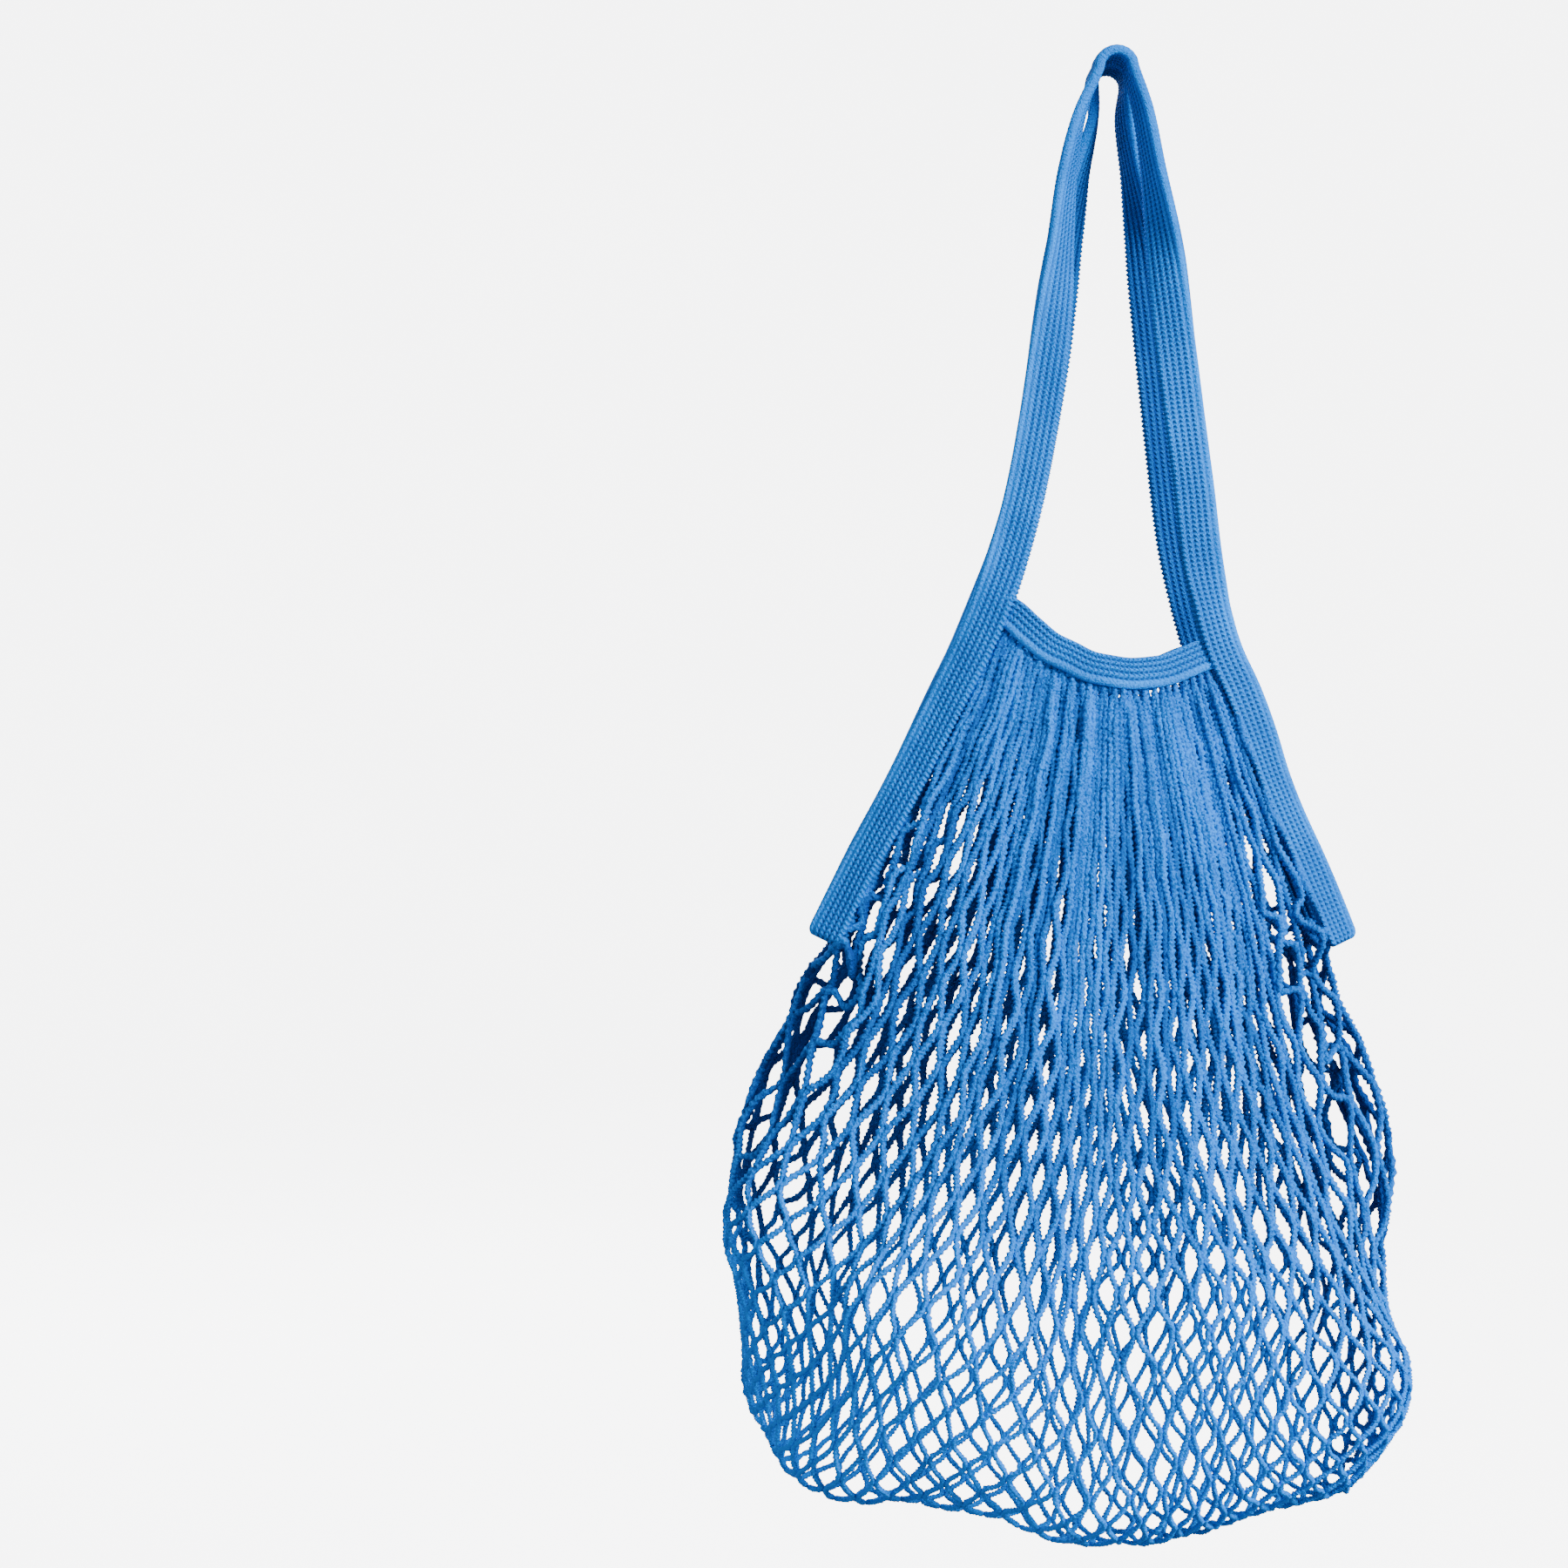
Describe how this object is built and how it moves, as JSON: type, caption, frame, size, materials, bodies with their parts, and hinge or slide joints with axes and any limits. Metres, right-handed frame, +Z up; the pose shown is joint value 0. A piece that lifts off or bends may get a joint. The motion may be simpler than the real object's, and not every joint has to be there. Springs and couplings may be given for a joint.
{
  "type": "string shopping bag",
  "caption": "Knitted net shopping bag with two long tape handles, bound side slits and gathered rims, shown hanging in its filled form.",
  "frame": {"origin": "where the two handles rest on what holds them up, under the tapes", "axes": "+Z up, +X to the right seen from the front, -Y to the front, +Y to what the bag hangs against"},
  "size_m": [0.3044, 0.1743, 0.6722],
  "materials": {
    "tape": "matt ribbed cotton knit",
    "net": "matt twisted cotton string"
  },
  "bodies": {
    "root": {"front_tape": "tape", "back_tape": "tape", "front_rim": "tape", "back_rim": "tape", "net_sack": "net"}
  },
  "joints": []
}
